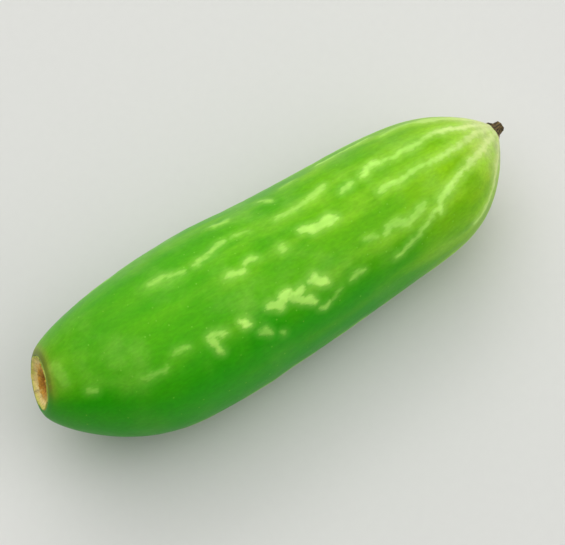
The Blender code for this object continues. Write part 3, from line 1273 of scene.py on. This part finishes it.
@dataclass(frozen=True)
class SmallForm:
    """How finely a small turned piece is drawn, and how its surface strays from a round one."""

    rings: int
    steps: int
    lobes: float
    lobe_depth: float
    lump_height: float
    lump_size: float
    lump_detail: float
    full_lumps: float  # from the middle to where the lumps are full

    def sizes(self) -> dict[str, object]:
        """The turned tree's inputs for it."""
        return {
            "Rings": self.rings,
            "Steps Around": self.steps,
            "Full Radius": self.full_lumps,
            "Lobes": self.lobes,
            "Lobe Depth": self.lobe_depth,
            "Lobe Depth at Blossom": self.lobe_depth,
            "Lump Height": self.lump_height,
            "Lump Size": self.lump_size,
            "Lump Detail": self.lump_detail,
        }


@dataclass(frozen=True)
class StemScar:
    """The dished stem scar, and the torn ends of the vascular bundles that stand in it."""

    # Radius and depth in mm: over the lip, into the trough, over the ring and into the split pit
    top: Outline = (
        (3.12, 0.02), (3.06, -0.12), (2.94, -0.22), (2.80, -0.18), (2.60, 0.06), (2.32, 0.32), (2.02, 0.34),
        (1.78, 0.18), (1.52, 0.15), (1.25, 0.34), (0.98, 0.56), (0.72, 0.84), (0.38, 1.02), (0.0, 1.06),
    )
    under: Outline = ((0.0, 1.9), (2.1, 1.6), (2.9, 0.5))
    form: SmallForm = SmallForm(
        rings=150,
        steps=200,
        lobes=7.0,
        lobe_depth=0.035 * MM,
        lump_height=0.1 * MM,
        lump_size=0.7 * MM,
        lump_detail=4.0,
        full_lumps=1.2 * MM,
    )
    bundles: int = 10
    bundle_ring: float = 1.6 * MM
    stub_radius: float = 0.2 * MM
    stub_taper: float = 0.6  # share of that radius at the top
    stub_height: float = 0.4 * MM
    stub_growth: tuple[float, float] = (0.6, 1.35)  # of the smallest and the largest
    stub_sunk: float = 0.5 * MM  # how deep in the dish the stubs stand
    stray: tuple[float, float, float] = (0.18 * MM, 0.18 * MM, 0.05 * MM)
    lean: tuple[float, float, float] = (0.5, 0.5, 3.1)  # radians
    tear: float = 0.2 * MM
    tear_clumps: float = 0.7  # clumps of the noise in a stub's radius
    bundle_tone: float = 1.7  # mm from the middle to where the cork has the stubs' colour
    seed: int = 4

    def build(self, lathe: Lathe, finish: bpy.types.Material) -> bpy.types.Object:
        """Grows the dish.

        Args:
            lathe: what turns it.
            finish: the cork.

        Returns:
            The piece.
        """
        profile = tuple((radius * MM, 0.0, depth * MM) for radius, depth in self.under + self.top)
        scar = lathe.turn("scar", profile, finish, self.form.sizes())
        lathe.settle(scar)
        keep_attribute(scar.data, "radius_mm", read(scar.data.attributes["radius"].data, "value") / MM)
        return scar

    def build_bundle_ends(self, lathe: Lathe, finish: bpy.types.Material) -> bpy.types.Object:
        """Sets the bundles' torn ends on the ring in the dish.

        Args:
            lathe: what the dish was turned with.
            finish: the cork.

        Returns:
            The piece.
        """
        outward = -lathe.shape.into_body().normalized()
        sizes = {
            "Bundles": self.bundles,
            "Ring Radius": self.bundle_ring,
            "Stub Radius": self.stub_radius,
            "Stub Taper": self.stub_taper,
            "Stub Height": self.stub_height,
            "Least Growth": self.stub_growth[0],
            "Most Growth": self.stub_growth[1],
            "Stray": self.stray,
            "Lean": self.lean,
            "Roughness": self.tear,
            "Clumps": self.tear_clumps,
            "Seed": self.seed,
            "Cork Radius": self.bundle_tone,
            "Place": lathe.shape.stem() + lathe.offset - outward * self.stub_sunk,
            "Turn": Vector(outward.to_track_quat("Z", "Y").to_euler()),
            "Material": finish,
        }
        return grown("bundle_ends", bundle_tree(), sizes)


@dataclass(frozen=True)
class StyleStub:
    """What is left of the dried style: a ridged, shrivelled peg with a pit in its end."""

    # Radius in mm, and mm beyond the point that the flesh tapers to
    outline: Outline = (
        (0.0, 0.38), (0.24, 0.40), (0.42, 0.54), (0.54, 0.60), (0.64, 0.50), (0.68, 0.28), (0.70, 0.04),
        (0.80, -0.20), (0.98, -0.42), (1.16, -0.62), (1.22, -0.76), (1.10, -0.95), (0.6, -1.15), (0.0, -1.2),
    )
    form: SmallForm = SmallForm(
        rings=90,
        steps=96,
        lobes=7.0,
        lobe_depth=0.06 * MM,
        lump_height=0.13 * MM,
        lump_size=0.5 * MM,
        lump_detail=3.0,
        full_lumps=0.9 * MM,
    )

    def build(self, lathe: Lathe, finish: bpy.types.Material) -> bpy.types.Object:
        """Grows the peg.

        Args:
            lathe: what turns it.
            finish: the style's material.

        Returns:
            The piece.
        """
        tip = lathe.shape.length
        profile = tuple((radius * MM, 0.0, tip + beyond * MM) for radius, beyond in self.outline)
        style = lathe.turn("style", profile, finish, self.form.sizes())
        lathe.settle(style)
        return style


def way_to(azimuth: float, elevation: float) -> Vector:
    """The way from the fruit to something this many degrees round from the front and up from the floor."""
    turn, rise = math.radians(azimuth), math.radians(elevation)
    return Vector((math.sin(turn) * math.cos(rise), -math.cos(turn) * math.cos(rise), math.sin(rise)))


@dataclass(frozen=True)
class MattBoard:
    """Thick white board with an uncoated, matt face, under the fruit.

    The eye gets an even pale ground with a faint fibre in it, and soft shadows without reflections.
    """

    grey: str = "#D6D6D2"
    half: float = 1.5  # metres from its middle to its edge
    fibre: float = 1.1  # mm across a clump of fibres
    toned: Range = (0.0, 1.0, 0.97, 1.0)

    def build(self) -> bpy.types.Object:
        """Lays the board as the floor.

        Returns:
            The floor.
        """
        mesh = bpy.data.meshes.new("floor")
        corners = [(x * self.half, y * self.half, 0) for x, y in ((-1, -1), (1, -1), (1, 1), (-1, 1))]
        mesh.from_pydata(corners, [], [(0, 1, 2, 3)])
        floor = add_object("floor", mesh)
        material, tree, shader, mm = new_material("board_matt_white")
        add = partial(add_node, tree)
        fibre = add(NOISE, {"Vector": mm, "Scale": 1 / self.fibre, "Detail": 3.0})
        tone = add(SPAN, (fibre, *self.toned))
        white = {0: linear(self.grey)[:3], "Scale": tone}
        connect(tree, shader, {"Base Color": add(VECTOR, white, operation="SCALE"), "Roughness": 0.8})
        mesh.materials.append(material)
        return floor


@dataclass(frozen=True)
class SoftLight:
    """One square soft light that faces the fruit.

    Attributes:
        name: the light's name.
        azimuth: degrees round from the front.
        elevation: degrees above the floor.
        away: metres from the fruit.
        size: metres along each side.
        watts: its power.
    """

    name: str
    azimuth: float
    elevation: float
    away: float
    size: float
    watts: float

    def build(self) -> None:
        """Hangs the light."""
        lamp = bpy.data.lights.new(self.name, "AREA")
        lamp.shape, lamp.size, lamp.energy = "SQUARE", self.size, self.watts
        holder = add_object(self.name, lamp)
        way = way_to(self.azimuth, self.elevation)
        holder.location = way * self.away
        holder.rotation_euler = way.to_track_quat("Z", "Y").to_euler()


@dataclass(frozen=True)
class Studio:
    """The plain setting: a pale floor, soft lights and the camera at the photograph's viewing angle."""

    azimuth: float = -32.6  # degrees
    elevation: float = 66.0  # degrees
    lens: float = 180.0  # mm
    sensor: float = 36.0  # mm
    near: float = 0.01  # metres from the lens to where it begins to see
    floor: MattBoard = MattBoard()
    lights: tuple[SoftLight, ...] = (
        SoftLight("back_window", 165, 32, 0.9, 0.8, 2.6),
        SoftLight("overhead", 170, 80, 0.8, 1.3, 7.6),
        SoftLight("tip_side", 50, 42, 1.0, 0.8, 2.5),
        SoftLight("front_fill", 5, 38, 1.2, 0.9, 2.0),
    )
    world_grey: str = "#F2F4F5"
    world_strength: float = 0.12

    def build(self) -> None:
        """Lays the floor, hangs the lights and sets the pale surroundings."""
        self.floor.build()
        for light in self.lights:
            light.build()
        world = bpy.data.worlds.new("pale_surroundings")
        world.use_nodes = True
        sky = {"Color": linear(self.world_grey), "Strength": self.world_strength}
        connect(world.node_tree, world.node_tree.nodes["Background"], sky)
        bpy.context.scene.world = world
        bpy.context.scene.view_settings.view_transform = "Standard"

    def place_camera(self, low: Vector, high: Vector) -> None:
        """Aims a long lens at the middle of the fruit, so that the fruit fills the picture's width.

        Args:
            low: the lowest corner of the fruit.
            high: the highest corner.
        """
        back = way_to(self.azimuth, self.elevation)
        turn = back.to_track_quat("Z", "Y")
        right = turn @ Vector((1, 0, 0))
        half_span = (abs(right.x) * (high.x - low.x) + abs(right.y) * (high.y - low.y)) / 2
        camera = bpy.data.cameras.new("camera")
        camera.lens, camera.sensor_width, camera.clip_start = self.lens, self.sensor, self.near
        holder = add_object("camera", camera)
        holder.location = (low + high) / 2 + back * (half_span / (self.sensor / 2 / self.lens))
        holder.rotation_euler = turn.to_euler()
        bpy.context.scene.camera = holder


def hand_over(piece: bpy.types.Object) -> None:
    """Makes a finished piece part of the fruit's body, in place of the solid.

    Args:
        piece: the finished piece.
    """
    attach(piece, "root")
    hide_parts("gourd")
    PEN.info("%s: %d faces", piece.name, len(piece.data.polygons))


def main() -> None:
    """Builds the fruit, piece by piece, and the studio round it."""
    logging.basicConfig(level=logging.INFO, format="%(name)s: %(message)s")
    lathe = Lathe(FruitShape(), turned_tree(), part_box("gourd"))
    hand_over(SkinCoat(FleckPattern()).build(lathe, WaxySkin().build()))
    scar, cork = StemScar(), ScarCork().build()
    hand_over(scar.build(lathe, cork))
    hand_over(scar.build_bundle_ends(lathe, cork))
    hand_over(StyleStub().build(lathe, DriedStyle().build()))
    studio = Studio()
    studio.build()
    studio.place_camera(CAD_LOW, CAD_HIGH)


if __name__ == "__main__":
    main()
